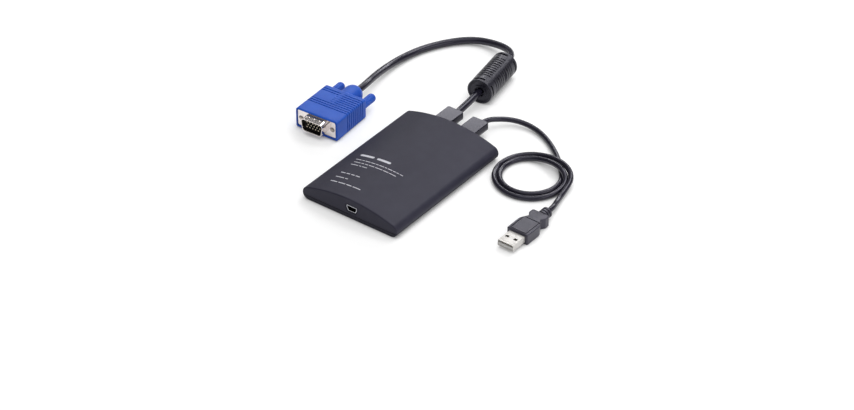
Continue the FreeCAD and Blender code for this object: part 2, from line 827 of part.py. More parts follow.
def grip_groove_tool():
    """Grooves around the moulding, without the smooth panel on the left half of its top."""
    wide = video_body_front_width
    slabs = []
    for i in range(grip_groove_count):
        low = grip_groove_first + i * grip_groove_pitch
        slabs.append(box(V(-wide, low, -wide), V(wide, low + grip_groove_width, wide)))
    first = grip_groove_first + grip_full_in_front * grip_groove_pitch
    last = grip_groove_first + (grip_groove_count - grip_full_behind) * grip_groove_pitch
    panel = box(V(-wide, first - grip_groove_width / 2, video_body_above - video_body_edge_radius),
                V(-grip_panel_edge, last - grip_groove_width / 2, wide))
    return Part.makeCompound(slabs).cut([video_block(grip_groove_depth), panel])


def d_outline(grow, y):
    """D-shaped outline of the video plug's shell, wide side up."""
    half = d_height / 2 + grow
    lean = math.tan(math.radians(d_slant))
    wide = d_width / 2 + grow
    narrow = wide - 2 * half * lean
    corners = [V(-narrow, y, -half), V(narrow, y, -half), V(wide, y, half), V(-wide, y, half)]
    return Part.Face(rounded_outline(corners, [d_corner_radius + grow] * 4))


def insulator_block(gap):
    """Rear block of the insulator, which is moulded in behind the flange."""
    width, height = insulator_rear_width + 2 * gap, insulator_rear_height + 2 * gap
    face = upright_rectangle(width, height, insulator_corner_radius, flange_thickness)
    return bar_along_y(face, insulator_rear_depth + gap)


def screw_axes():
    """Places of the two thumbscrews across the plug."""
    return (-screw_spacing / 2, screw_spacing / 2)


def place_video(solid):
    """A piece of the video plug, where the plug lies."""
    return set_down(solid, video_plug_at, video_plug_yaw)


def make_video_plug_body():
    """Blue moulding: grooved grip block, a dome for the lead, holes for the screws, a seat for the flange."""
    end = V(0, dome_end, 0)
    dome = rod(dome_diameter / 2, V(0, video_body_length / 2, 0), V(0, dome_middle, 0))
    ball = Part.makeSphere(dome_diameter / 2, V(0, dome_middle, 0))
    reach = V(dome_diameter, dome_diameter, dome_diameter)
    ball = ball.cut(box(end - V(reach.x, 0, reach.z), end + reach))
    body = fuse_all(video_block(0).cut(grip_groove_tool()), [dome, ball])
    seat = upright_rectangle(flange_width + 2 * fit_gap, flange_height + 2 * fit_gap,
                             flange_corner_radius, -video_body_lip - overrun)
    tools = [bar_along_y(seat, video_body_lip + overrun + flange_thickness), insulator_block(fit_gap)]
    knob_seat = video_body_length - knob_seat_depth
    past_end = video_body_length + overrun
    for x in screw_axes():
        tools.append(rod(jackscrew_diameter / 2 + jackscrew_gap, V(x, 0, 0), V(x, past_end, 0)))
        tools.append(rod(knob_diameter / 2 + knob_gap, V(x, knob_seat, 0), V(x, past_end, 0)))
    return place_video(cut_all(body, tools))


def make_video_plug_shell():
    """Stamped shell: flange with two screw holes, flared D-shaped collar with dimples above and below."""
    plate = upright_rectangle(flange_width, flange_height, flange_corner_radius, 0)
    collar = Part.makeLoft([d_outline(0, -d_reach).OuterWire, d_outline(d_flare, 0).OuterWire], True)
    shell = bar_along_y(plate, flange_thickness).fuse(collar)
    bumps = []
    for side, count in ((1, dimple_count), (-1, dimple_count - 1)):
        for i in range(count):
            x = (i - (count - 1) / 2) * dimple_pitch
            z = side * (d_height - dimple_radius + d_flare) / 2
            bumps.append(Part.makeSphere(dimple_radius, V(x, -dimple_setback, z)))
    shell = fuse_all(shell, bumps)
    tools = [bar_along_y(d_outline(-d_skin, -d_reach - overrun), d_reach + flange_thickness + 2 * overrun)]
    hole = jackscrew_diameter / 2 + jackscrew_hole_gap
    for x in screw_axes():
        tools.append(rod(hole, V(x, -overrun, 0), V(x, flange_thickness + overrun, 0)))
    return place_video(cut_all(shell, tools))


def pin_places():
    """Pins in three rows, the middle row half a pitch aside."""
    places = []
    for row in range(pin_row_count):
        shift = pin_pitch / 4 if row % 2 else -pin_pitch / 4
        for i in range(pins_in_row):
            x = (i - (pins_in_row - 1) / 2) * pin_pitch + shift
            places.append(V(x, 0, (row - (pin_row_count - 1) / 2) * pin_row_pitch))
    return places


def video_pins():
    """The pins in the plug's own frame, with eased tips."""
    tip = -d_reach + pin_tip_setback
    end = flange_thickness + pin_rear_depth
    pins = []
    for place in pin_places():
        pin = rod(pin_diameter / 2, place + V(0, tip, 0), place + V(0, end, 0))
        pins.append(pin.makeChamfer(pin_tip_chamfer, rims_across_y(pin, tip)))
    return pins


def make_video_plug_insulator():
    """Insulator that holds the pins, recessed in the D-shaped collar."""
    front = -d_reach + insulator_front_setback
    plug = bar_along_y(d_outline(-d_skin - fit_gap / 2, front), flange_thickness - front)
    start, end = V(0, front - overrun, 0), V(0, flange_thickness + pin_rear_depth, 0)
    holes = [rod(pin_diameter / 2, place + start, place + end) for place in pin_places()]
    return place_video(cut_all(fuse_all(plug, [insulator_block(0)]), holes))


def make_thumbscrew_shank(x):
    """Steel screw with a pointed tip, from the flange to the inside of its knob."""
    end = video_body_length + jackscrew_knob_depth
    shank = rod(jackscrew_diameter / 2, V(x, -jackscrew_reach, 0), V(x, end, 0))
    return place_video(shank.makeChamfer(jackscrew_tip_chamfer, rims_across_y(shank, -jackscrew_reach)))


def make_thumbscrew_knob(x):
    """Moulded knob with fine flutes and a rounded end."""
    start = video_body_length - knob_seat_depth + knob_gap
    end = start + knob_length
    knob = rod(knob_diameter / 2, V(x, start, 0), V(x, end, 0))
    knob = knob.makeFillet(knob_end_radius, rims_across_y(knob, end))
    bore_end = video_body_length + jackscrew_knob_depth
    tools = [rod(jackscrew_diameter / 2, V(x, start - overrun, 0), V(x, bore_end, 0))]
    ring = knob_diameter / 2 + knob_flute_radius - knob_flute_depth
    for i in range(knob_flute_count):
        angle = 2 * math.pi * i / knob_flute_count
        foot = V(x + ring * math.cos(angle), video_body_length + knob_gap, ring * math.sin(angle))
        tools.append(rod(knob_flute_radius, foot, V(foot.x, end + overrun, foot.z)))
    return place_video(cut_all(knob, tools))


def place_usb(solid):
    """A piece of the type-A plug, where the plug lies."""
    return set_down(solid, usb_plug_at, usb_plug_yaw)


def usb_shell_bar(grow, start, length):
    """Flat rounded bar of the type-A shell's section."""
    width, height = usb_shell_width + 2 * grow, usb_shell_height + 2 * grow
    return bar_along_y(upright_rectangle(width, height, usb_shell_corner + grow, start), length)


def make_usb_plug_shell():
    """Folded steel shell, open in front, with two latch windows on each broad side."""
    length = usb_shell_shown + usb_shell_held
    tools = [usb_shell_bar(-usb_shell_skin, -overrun, length - usb_shell_skin + overrun)]
    for side in (-1, 1):
        x = side * usb_window_spacing / 2
        low = V(x - usb_window_width / 2, usb_window_from_mouth - usb_window_length / 2, -usb_shell_height)
        tools.append(box(low, low + V(usb_window_width, usb_window_length, 2 * usb_shell_height)))
    return place_usb(cut_all(usb_shell_bar(0, 0, length), tools))


def usb_tongue_top():
    """Height of the tongue's contact face in the plug's frame."""
    return -usb_shell_height / 2 + usb_shell_skin + usb_tongue_thickness


def make_usb_plug_tongue():
    """Insulator that fills the lower half of the shell."""
    length = usb_shell_shown + usb_shell_held - usb_shell_skin - usb_tongue_setback
    bar = usb_shell_bar(-usb_shell_skin, usb_tongue_setback, length)
    reach = V(usb_shell_width, 0, 0)
    upper = box(V(0, 0, usb_tongue_top()) - reach, V(0, 2 * length, usb_shell_height) + reach)
    return place_usb(bar.cut(upper).removeSplitter())


def make_usb_plug_contacts():
    """Four contact strips on the tongue."""
    strips = []
    for i in range(usb_contact_count):
        x = (i - (usb_contact_count - 1) / 2) * usb_contact_pitch
        low = V(x - usb_contact_width / 2, usb_contact_setback, usb_tongue_top())
        strips.append(box(low, low + V(usb_contact_width, usb_contact_length, contact_thickness)))
    return place_usb(Part.makeCompound(strips))


def usb_body_outline(z):
    """Plan of the type-A moulding: straight sides, a waist, and two ears before the cable end."""
    taper_start = usb_body_front + usb_body_straight
    ear_front = usb_waist_y + usb_ear_rise
    half = [(usb_body_width / 2, usb_body_front, usb_front_radius),
            (usb_body_width / 2, taper_start, usb_shoulder_radius),
            (usb_waist_width / 2, usb_waist_y, usb_waist_radius),
            (usb_ear_width / 2, ear_front, usb_ear_front_radius),
            (usb_ear_width / 2, usb_body_end, usb_ear_rear_radius)]
    corners = [V(x, y, z) for x, y, r in half] + [V(-x, y, z) for x, y, r in reversed(half)]
    radii = [r for x, y, r in half] + [r for x, y, r in reversed(half)]
    return Part.Face(rounded_outline(corners, radii))


def make_usb_plug_body():
    """Dark moulding: grip block with a groove round its broad panels, ears, and a ringed cable end."""
    half = usb_body_height / 2
    body = usb_body_outline(-half).extrude(V(0, 0, usb_body_height))
    body = body.makeFillet(usb_body_edge_radius, edges_at_height(body, [-half, half]))
    tools = [usb_shell_bar(0, usb_body_front - overrun, usb_shell_held + overrun)]
    panel = V(usb_body_width / 2 - usb_panel_rim, usb_body_front + usb_panel_length, 0)
    groove = V(usb_panel_groove_width, usb_panel_groove_width, 0)
    corner = V(-panel.x, usb_body_front + usb_panel_front, 0)
    for side in (-1, 1):
        low, high = sorted((side * (half - usb_panel_groove_depth), side * (half + overrun)))
        field = box(corner + groove + V(0, 0, low), panel - groove + V(0, 0, high))
        tools.append(box(corner + V(0, 0, low), panel + V(0, 0, high)).cut(field))
    pitch = usb_boot_ring_length + usb_boot_gap_length
    core = usb_boot_diameter / 2 - usb_boot_gap_depth
    boot = [rod(core, V(0, usb_body_end - usb_ear_thickness, 0), V(0, usb_boot_end, 0))]
    for i in range(usb_boot_ring_count):
        low = usb_body_end + usb_boot_gap_length + i * pitch
        boot.append(rod(usb_boot_diameter / 2, V(0, low, 0), V(0, low + usb_boot_ring_length, 0)))
    return place_usb(fuse_all(cut_all(body, tools), boot))


def main():
    """Builds and writes every piece."""
    os.makedirs("parts", exist_ok=True)
    quad = [V(1, 0, 0), V(-1, 0, 0), V(0, 1, 0), V(0, -1, 0)]
    save("top_cover", make_top_cover())
    save("bottom_cover", make_bottom_cover())
    save("case_screws", make_case_screws())
    save("main_board", make_main_board())
    save("video_chip", chip(video_chip_at, video_chip_size, video_chip_size, video_chip_height, quad))
    save("memory_chip", chip(memory_chip_at, memory_chip_width, memory_chip_length, memory_chip_height,
                             quad[:2]))
    save("usb_chip", chip(usb_chip_at, usb_chip_size, usb_chip_size, usb_chip_height, quad))
    save("crystal", make_crystal())
    save("capacitors", make_capacitors())
    save("video_header", make_header(-1, video_header_width))
    save("usb_header", make_header(1, usb_header_width))
    save("video_wires", make_wires(-1, video_wire_count))
    save("usb_wires", make_wires(1, usb_wire_count))
    save("port_shell", make_port_shell())
    save("port_tongue", make_port_tongue())
    save("port_contacts", make_port_contacts())
    save("video_strain_relief", make_strain_relief(-1))
    save("usb_strain_relief", make_strain_relief(1))
    save("video_cord", cord_tube("video_cord", video_route, video_cord_diameter))
    save("ferrite_sleeve", make_ferrite_sleeve())
    save("ferrite_core", make_ferrite_core())
    save("video_plug_body", make_video_plug_body())
    save("video_plug_shell", make_video_plug_shell())
    save("video_plug_insulator", make_video_plug_insulator())
    save("video_plug_pins", place_video(Part.makeCompound(video_pins())))
    for name, x in zip(("left", "right"), screw_axes()):
        save(f"thumbscrew_shank_{name}", make_thumbscrew_shank(x))
        save(f"thumbscrew_knob_{name}", make_thumbscrew_knob(x))
    save("usb_cord_lead", cord_tube("usb_cord_lead", usb_lead_route, usb_cord_diameter))
    save("usb_cord_coil", make_usb_cord_coil())
    save("usb_cord_tail", cord_tube("usb_cord_tail", usb_tail_route, usb_cord_diameter))
    save("usb_plug_body", make_usb_plug_body())
    save("usb_plug_shell", make_usb_plug_shell())
    save("usb_plug_tongue", make_usb_plug_tongue())
    save("usb_plug_contacts", make_usb_plug_contacts())


main()
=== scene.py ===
import math
import random

import bmesh
import bpy
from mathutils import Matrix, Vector


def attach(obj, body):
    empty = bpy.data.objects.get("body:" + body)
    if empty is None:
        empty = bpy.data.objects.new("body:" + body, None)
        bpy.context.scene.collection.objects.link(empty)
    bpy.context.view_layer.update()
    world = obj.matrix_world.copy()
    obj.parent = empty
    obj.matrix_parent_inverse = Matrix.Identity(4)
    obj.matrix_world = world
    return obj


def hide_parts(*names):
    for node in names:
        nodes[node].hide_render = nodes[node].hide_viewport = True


# Looks of the crash cart adapter, in metres and in the frame of its solids.

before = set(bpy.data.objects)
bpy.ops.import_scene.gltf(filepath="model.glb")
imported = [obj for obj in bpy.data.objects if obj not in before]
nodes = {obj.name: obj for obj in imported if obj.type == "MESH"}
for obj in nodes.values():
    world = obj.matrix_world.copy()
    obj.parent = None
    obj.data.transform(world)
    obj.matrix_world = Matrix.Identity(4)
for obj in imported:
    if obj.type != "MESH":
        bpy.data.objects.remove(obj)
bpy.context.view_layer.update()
mm = 0.001

# Camera: where the photograph was taken from. Azimuth 0 is straight in front of the socket end, and it grows
# toward +X.
view_azimuth = 36.93
view_elevation = 35.83
view_target = Vector((30.9, -13.7, 0.0)) * mm
view_distance = 1997.4 * mm
view_lens = 131.66
sensor_width = 36.0

# Soft lamps, which look at the camera's target: azimuth, elevation, width, height and power
lamp_distance = 1.3
lamps = {
    "back_softbox": (198.0, 31.5, 1.5, 0.13, 5.4),
    "rear_softbox": (177.0, 55.0, 0.7, 0.4, 4.1),
    "side_softbox": (95.0, 28.0, 1.0, 0.6, 4.5),
    "front_softbox": (40.0, 26.0, 1.4, 0.6, 1.6),
    "top_softbox": (view_azimuth, 88.0, 0.9, 0.9, 2.4),
}

# Surroundings: brightness by the sine of the height above the floor
world_levels = [(0.0, 1.0), (0.06, 1.0), (0.12, 0.18), (0.7, 0.2), (0.85, 0.75), (1.0, 0.9)]

# Floor: its place and finish, and the glow that lifts it to white, by the distance from the part's origin
floor_half_width = 3.0
floor_drop = 0.05 * mm
floor_grey = 0.72
floor_roughness = 0.9
glow_start = 0.25
glow_end = 0.9
near_glow = 0.36
far_glow = 0.85

# Painted contact shadows on the floor: how near a piece has to be, and the share of open sky that leaves no
# shadow
contact_reach = 5.0 * mm
contact_open = 0.85
contact_samples = 16

# Leads: diameters and fineness, and routes in mm that are chosen from the photograph
video_cord_diameter = 5.0 * mm
usb_cord_diameter = 3.6 * mm
cord_bevel_steps = 6
cord_length_steps = 10
cord_order = 3
video_route = [
    (-10.2, 73.0, 6.8), (-10.25, 79.0, 7.05), (-10.6, 90.5, 8.3), (-11.6, 103.4, 9.1), (-13.75, 116.2, 9.15),
    (-15.83, 129.0, 9.1), (-17.47, 138.9, 9.1), (-19.1, 147.6, 8.8), (-24.2, 154.4, 7.9), (-33.0, 158.5, 6.3),
    (-42.8, 160.0, 4.6), (-53.2, 159.0, 3.4), (-62.9, 153.6, 2.7), (-72.4, 141.8, 2.5), (-79.8, 126.8, 2.5),
    (-83.2, 110.4, 3.0), (-83.5, 94.2, 4.3), (-81.5, 77.8, 6.3), (-78.37, 63.4, 8.1), (-77.86, 54.0, 8.1),
]
usb_lead_route = [
    (10.2, 73.0, 6.8), (10.2, 79.0, 6.8), (14.5, 86.2, 5.4), (21.5, 92.6, 4.3), (31.0, 95.6, 3.2),
    (42.0, 94.6, 2.3), (52.5, 89.8, 1.9), (62.5, 83.0, 1.8), (70.6, 76.0, 1.8), (76.6, 69.6, 1.8),
]
usb_tail_route = [(95.6, 42.9, 2.4), (97.8, 34.5, 2.8), (99.93, 27.6, 3.9), (99.87, 21.8, 3.9)]

# Loose turns of the thin lead, in mm and degrees: from an inner circle out to a wider one, and lifted over
# the lead that they cross. Each crossing has its angle, and how far before and after it the lead is lifted.
inner_turn_center = Vector((66.7, 50.2))
inner_turn_radius = 20.2
outer_turn_center = Vector((67.8, 50.5))
outer_turn_radius = 24.9
widening_start = -245.0
widening_end = -435.0
turn_start = 38.0
turn_end = -708.0
turn_step = 15.0
crossings = [(-294.0, 40.0, 40.0), (-654.0, 40.0, 60.0)]
crossing_rise = 4.6
crossing_lean = Vector((0.832, -1.107))

# Mini socket: where its rim stands along the case, and how far behind that the painted shade inside begins
# and is full
along_case = (0.0, 1.0, 0.0)
port_rim_place = -54.7 * mm
port_bright_depth = 0.1 * mm
port_shade_depth = 0.3 * mm

# Flat plug: where the painted shade on its tongue begins along the case, and where it is full
tongue_bright_end = -21.0 * mm
tongue_shade_start = -20.2 * mm

# Video plug: how far it is turned, where its pins end along it, and how far behind that painted shade begins
# and is full
plug_yaw = math.radians(3.1)
along_plug = (-math.sin(plug_yaw), math.cos(plug_yaw), 0.0)
pin_tip_place = 6.76 * mm
pin_bright_length = 0.15 * mm
pin_shade_length = 0.4 * mm

# Printed lines on the top of the case: left end, right end, place along the case and height, all in mm
printed_lines = [
    (-27.0, -2.5, -8.0, 2.0),
    (-26.5, 11.6, -13.6, 0.55), (-25.4, 8.4, -17.0, 0.55), (-25.4, -12.4, -20.3, 0.55),
    (-24.9, -9.6, -31.3, 0.7), (-24.7, -14.9, -36.9, 0.7), (-24.4, -0.4, -42.6, 0.7),
]

# Words on these lines: lengths and gap in line heights, and the bars that stand for them, in mm
print_seed = 7
shortest_word = 3.0
longest_word = 11.0
word_gap = 1.2
print_columns = 1.2
fewest_columns = 4
round_end_steps = 4
narrowest_print = 0.02
print_rise = 0.03
case_crown = 15.0
case_top_radius = 109.559

# Finishes: sizes and detail of their noise, where its values mostly lie, and tints of their gloss
plastic_cloud = 9.0 * mm
metal_cloud = 4.0 * mm
metal_streak = 0.25 * mm
plain_detail = 2.0
rich_detail = 3.0
noise_low = 0.3
noise_high = 0.7
edge_samples = 6
unstretched = (1, 1, 1)
stretched_along = (1, 8, 1)
violet_sheen = (0.88, 0.87, 1.0, 1.0)
faint_sheen = (0.92, 0.91, 1.0, 1.0)
relief_sheen = (0.78, 0.76, 1.0, 1.0)

# Sockets of a Mix node that are for colours; the node has others of the same names
mix_factor = 0
mix_first = 6
mix_second = 7
mix_result = 2


def add_piece(name, data):
    """A new object in the scene."""
    piece = bpy.data.objects.new(name, data)
    bpy.context.scene.collection.objects.link(piece)
    return piece


def add_form(name, form, material):
    """A new object of a finished form, which is freed."""
    mesh = bpy.data.meshes.new(name)
    form.to_mesh(mesh)
    form.free()
    mesh.materials.append(material)
    return add_piece(name, mesh)


def loose_turns():
    """Points of the turns in mm, from the lead to the plug's end."""
    points = []
    count = round((turn_start - turn_end) / turn_step)
    for i in range(count + 1):
        angle = turn_start + (turn_end - turn_start) * i / count
        share = min(1.0, max(0.0, (angle - widening_start) / (widening_end - widening_start)))
        share = share**2 * (3 - 2 * share)
        out = Vector((math.cos(math.radians(angle)), math.sin(math.radians(angle))))
        inner = inner_turn_center + inner_turn_radius * out
        flat = inner.lerp(outer_turn_center + outer_turn_radius * out, share)
        rise = 0.0
        for middle, before, after in crossings:
            spread = after if angle < middle else before
            rise += crossing_rise * math.exp(-((angle - middle) / spread)**2)
        flat += crossing_lean * rise
        points.append((flat.x, flat.y, usb_cord_diameter / mm / 2 + rise))
    return points


def cord_curve(name, route, diameter):
    """A round lead on one smooth spline."""
    curve = bpy.data.curves.new(name, "CURVE")
    curve.dimensions = "3D"
    curve.bevel_depth = diameter / 2
    curve.bevel_resolution = cord_bevel_steps
    curve.resolution_u = cord_length_steps
    curve.use_fill_caps = True
    spline = curve.splines.new("NURBS")
    spline.points.add(len(route) - 1)
    for point, place in zip(spline.points, route):
        point.co = (*(Vector(place) * mm), 1.0)
    spline.order_u = cord_order
    spline.use_endpoint_u = True
    return add_piece(name, curve)


class Finish:
    """A material, with the nodes that the finishes share."""

    def __init__(self, name, **sockets):
        self.material = bpy.data.materials.new(name)
        self.material.use_nodes = True
        self.tree = self.material.node_tree
        self.shader = self.tree.nodes["Principled BSDF"]
        self.place = self.node("ShaderNodeTexCoord").outputs["Object"]
        for socket, value in sockets.items():
            self.shader.inputs[socket.replace("_", " ")].default_value = value

    def node(self, kind, **sockets):
        """A new node with some of its inputs set, or linked where an output is given."""
        made = self.tree.nodes.new(kind)
        for socket, value in sockets.items():
            self.put(value, made.inputs[socket.replace("_", " ")])
        return made

    def put(self, value, socket):
        """Sets an input, or links an output to it."""
        if isinstance(value, bpy.types.NodeSocket):
            self.tree.links.new(value, socket)
        else:
            socket.default_value = value

    def maths(self, operation, first, second):
        """The result of a maths node on two values."""
        made = self.tree.nodes.new("ShaderNodeMath")
        made.operation = operation
        self.put(first, made.inputs[0])
        self.put(second, made.inputs[1])
        return made.outputs[0]

    def measured(self, operation, *vectors):
        """The length of a vector, or the dot product of two."""
        made = self.tree.nodes.new("ShaderNodeVectorMath")
        made.operation = operation
        for vector, socket in zip(vectors, made.inputs):
            self.put(vector, socket)
        return made.outputs["Value"]

    def noise(self, size, detail=plain_detail, stretch=unstretched):
        """Noise with grains of about that size, drawn out by the stretch."""
        place = self.node("ShaderNodeMapping", Vector=self.place, Scale=[1 / s for s in stretch])
        made = self.node("ShaderNodeTexNoise", Vector=place.outputs["Vector"], Scale=1 / size, Detail=detail)
        return made.outputs["Fac"]

    def between(self, value, low, high, start=noise_low, end=noise_high):
        """A value that lies between start and end, spread from low to high."""
        made = self.node("ShaderNodeMapRange", Value=value, From_Min=start, From_Max=end,
                         To_Min=low, To_Max=high)
        return made.outputs["Result"]

    def mixed(self, factor, first, second):
        """Two colours, mixed by a value."""
        made = self.tree.nodes.new("ShaderNodeMix")
        made.data_type = "RGBA"
        self.put(factor, made.inputs[mix_factor])
        self.put(first, made.inputs[mix_first])
        self.put(second, made.inputs[mix_second])
        return made.outputs[mix_result]

    def mottled(self, grain, dark, light):
        """Two colours, mixed by noise."""
        return self.mixed(self.between(grain, 0.0, 1.0), dark, light)

    def colour(self, value):
        """Gives the finish its colour."""
        self.put(value, self.shader.inputs["Base Color"])

    def gloss(self, grain, roughness, spread):
        """Roughness that varies with noise."""
        rough = self.between(grain, roughness - spread, roughness + spread)
        self.put(rough, self.shader.inputs["Roughness"])

    def surface(self, height, depth, edge):
        """Relief of that depth on edges that are eased by a small radius."""
        eased = self.node("ShaderNodeBevel", Radius=edge)
        eased.samples = edge_samples
        bump = self.node("ShaderNodeBump", Height=height, Normal=eased.outputs["Normal"], Strength=1.0,
                         Distance=depth)
        self.put(bump.outputs["Normal"], self.shader.inputs["Normal"])


def shade(red, green, blue):
    """A colour that is written as it shows, in 0 to 255."""
    parts = [channel / 255 for channel in (red, green, blue)]
    return (*[p / 12.92 if p <= 0.04045 else ((p + 0.055) / 1.055)**2.4 for p in parts], 1.0)


def moulded(name, dark, light, roughness, grain, depth, edge=0.25 * mm, spread=0.05, **sockets):
    """Moulded plastic: cloudy colour, a fine grain in its surface and its gloss."""
    finish = Finish(name, **sockets)
    cloud = finish.noise(plastic_cloud, rich_detail)
    fine = finish.noise(grain)
    finish.colour(finish.mottled(cloud, dark, light))
    finish.gloss(fine, roughness, spread)
    finish.surface(fine, depth, edge)
    return finish.material


def plated(name, dark, light, roughness, stretch=unstretched, edge=0.12 * mm, spread=0.07, depth=0.004 * mm):
    """Plated or rolled metal: drawn-out streaks in its gloss and surface, and a cloudy colour."""
    finish = Finish(name, Metallic=1.0)
    streaks = finish.noise(metal_streak, rich_detail, stretch)
    cloud = finish.noise(metal_cloud)
    finish.colour(finish.mottled(cloud, dark, light))
    finish.gloss(streaks, roughness, spread)
    finish.surface(streaks, depth, edge)
    return finish.material


def painted_shade_inside(name, along, bright_end, shade_start, dark, light, inner, grain, depth, edge,
                  detail=plain_detail, gloss=None, **sockets):
    """Its own colour at its open end and painted shade further in, by its place along a direction."""
    finish = Finish(name, **sockets)
    place = finish.measured("DOT_PRODUCT", finish.place, along)
    inside = finish.between(place, 0.0, 1.0, bright_end, shade_start)
    fine = finish.noise(grain, detail)
    # The inner colour is painted shade, mixed in past the place where it begins
    finish.colour(finish.mixed(inside, finish.mottled(fine, dark, light), inner))
    if gloss:
        finish.gloss(fine, *gloss)
    finish.surface(fine, depth, edge)
    return finish.material


def floor_white():
    """White that glows for what the camera sees, and less so close to a piece, where a contact shadow is
    painted.
    """
    finish = Finish("floor_white", Base_Color=(floor_grey, floor_grey, floor_grey, 1.0),
                    Roughness=floor_roughness, Specular_IOR_Level=0.0, Emission_Color=(1.0, 1.0, 1.0, 1.0))
    away = finish.measured("LENGTH", finish.place)
    glow = finish.between(away, near_glow, far_glow, glow_start, glow_end)
    # Painted contact shadow: the glow is dimmed where a piece is close
    open_sky = finish.node("ShaderNodeAmbientOcclusion", Distance=contact_reach)
    open_sky.samples = contact_samples
    contact = finish.between(open_sky.outputs["AO"], 0.0, 1.0, 0.0, contact_open)
    # What the camera sees, straight or in a mirror or glass, but not light that spreads
    rays = finish.node("ShaderNodeLightPath").outputs
    seen = finish.maths("MAXIMUM", rays["Is Camera Ray"], rays["Is Glossy Ray"])
    seen = finish.maths("MAXIMUM", seen, rays["Is Transmission Ray"])
    lift = finish.maths("MULTIPLY", seen, finish.maths("MULTIPLY", contact, glow))
    finish.put(lift, finish.shader.inputs["Emission Strength"])
    return finish.material


def paint(material, *names):
    """Gives the solids of those names a material."""
    for name in names:
        slots = nodes[name].data.materials
        slots.clear()
        slots.append(material)


case_plastic = moulded("case_plastic", shade(40, 39, 53), shade(45, 44, 58), roughness=0.5, grain=0.35 * mm,
                       depth=0.01 * mm, Specular_IOR_Level=0.25, Specular_Tint=faint_sheen)
base_plastic = moulded("base_plastic", shade(32, 31, 42), shade(37, 36, 47), roughness=0.5, grain=0.35 * mm,
                       depth=0.01 * mm, Specular_IOR_Level=0.2, Specular_Tint=faint_sheen)
relief_rubber = moulded("relief_rubber", shade(20, 19, 28), shade(26, 25, 34), roughness=0.15, grain=0.5 * mm,
                        depth=0.002 * mm, spread=0.02, Specular_IOR_Level=0.24, Specular_Tint=relief_sheen)
jacket = moulded("cord_jacket", shade(26, 24, 36), shade(32, 30, 42), roughness=0.2, grain=1.2 * mm,
                 depth=0.002 * mm, spread=0.02, Specular_IOR_Level=0.45, Specular_Tint=violet_sheen)
ferrite_plastic = moulded("ferrite_plastic", shade(30, 29, 38), shade(36, 35, 44), roughness=0.3,
                          grain=0.4 * mm, depth=0.004 * mm, spread=0.04, Specular_IOR_Level=0.42,
                          Specular_Tint=violet_sheen)
blue_plastic = moulded("plug_blue", shade(27, 79, 181), shade(33, 87, 191), roughness=0.42, grain=0.4 * mm,
                       depth=0.008 * mm, Specular_IOR_Level=0.26)
usb_plastic = moulded("usb_moulding", shade(36, 34, 45), shade(52, 50, 61), roughness=0.36, grain=0.45 * mm,
                      depth=0.05 * mm, Specular_IOR_Level=0.62, Specular_Tint=violet_sheen)
black_plastic = moulded("contact_plastic", shade(12, 12, 14), shade(18, 18, 20), roughness=0.5,
                        grain=0.3 * mm, depth=0.006 * mm, edge=0.08 * mm, Specular_IOR_Level=0.2)
header_plastic = moulded("header_plastic", shade(222, 216, 198), shade(232, 226, 208), roughness=0.5,
                         grain=0.3 * mm, depth=0.004 * mm)
chip_plastic = moulded("chip_plastic", shade(30, 30, 32), shade(38, 38, 40), roughness=0.6, grain=0.3 * mm,
                       depth=0.006 * mm)
board_mask = moulded("board", shade(20, 84, 48), shade(26, 100, 58), roughness=0.35, grain=0.8 * mm,
                     depth=0.01 * mm)
wire_jacket = moulded("wire", shade(140, 40, 38), shade(160, 48, 44), roughness=0.4, grain=0.4 * mm,
                      depth=0.005 * mm)
ferrite_grey = moulded("ferrite", shade(52, 52, 54), shade(64, 64, 66), roughness=0.55, grain=0.3 * mm,
                       depth=0.02 * mm)
print_ink = moulded("print_ink", shade(196, 196, 204), shade(208, 208, 216), roughness=0.6, grain=0.2 * mm,
                    depth=0.002 * mm, edge=0.01 * mm)
nickel = plated("plug_nickel", shade(220, 213, 211), shade(234, 227, 225), roughness=0.14, spread=0.03,
                depth=0.001 * mm)
bright_steel = plated("usb_steel", shade(208, 206, 203), shade(220, 218, 215), roughness=0.64,
                      stretch=stretched_along)
screw_steel = plated("screw_steel", shade(178, 168, 160), shade(198, 188, 180), roughness=0.36)
gold = plated("gold", shade(150, 128, 88), shade(172, 150, 106), roughness=0.35)
can_metal = plated("can_metal", shade(206, 206, 208), shade(220, 220, 222), roughness=0.3)
# Socket metal with painted shade on its inner walls behind the rim
port_nickel_painted_shade = painted_shade_inside("port_metal", along_case, port_rim_place + port_bright_depth,
                            port_rim_place + port_shade_depth, shade(196, 197, 204), shade(208, 209, 216),
                            inner=shade(34, 34, 38), grain=metal_streak, depth=0.003 * mm, edge=0.06 * mm,
                            detail=rich_detail, gloss=(0.31, 0.05), Metallic=1.0)
# Tongue insulator in its own white at the mouth, with painted shade further in
tongue_painted_shade = painted_shade_inside("usb_insulator", along_case, tongue_bright_end, tongue_shade_start,
                               shade(206, 205, 202), shade(218, 217, 214), inner=shade(24, 24, 26),
                               grain=0.3 * mm, depth=0.004 * mm, edge=0.08 * mm, Roughness=0.5)
# Pins in their plated colour at the tips, with painted shade on the shafts behind
pins_painted_shade = painted_shade_inside("pin_gold", along_plug, pin_tip_place + pin_bright_length,
                            pin_tip_place + pin_shade_length, shade(218, 208, 186), shade(232, 222, 202),
                            inner=shade(22, 19, 15), grain=0.2 * mm, depth=0.004 * mm, edge=0.08 * mm,
                            gloss=(0.36, 0.06), Metallic=1.0)

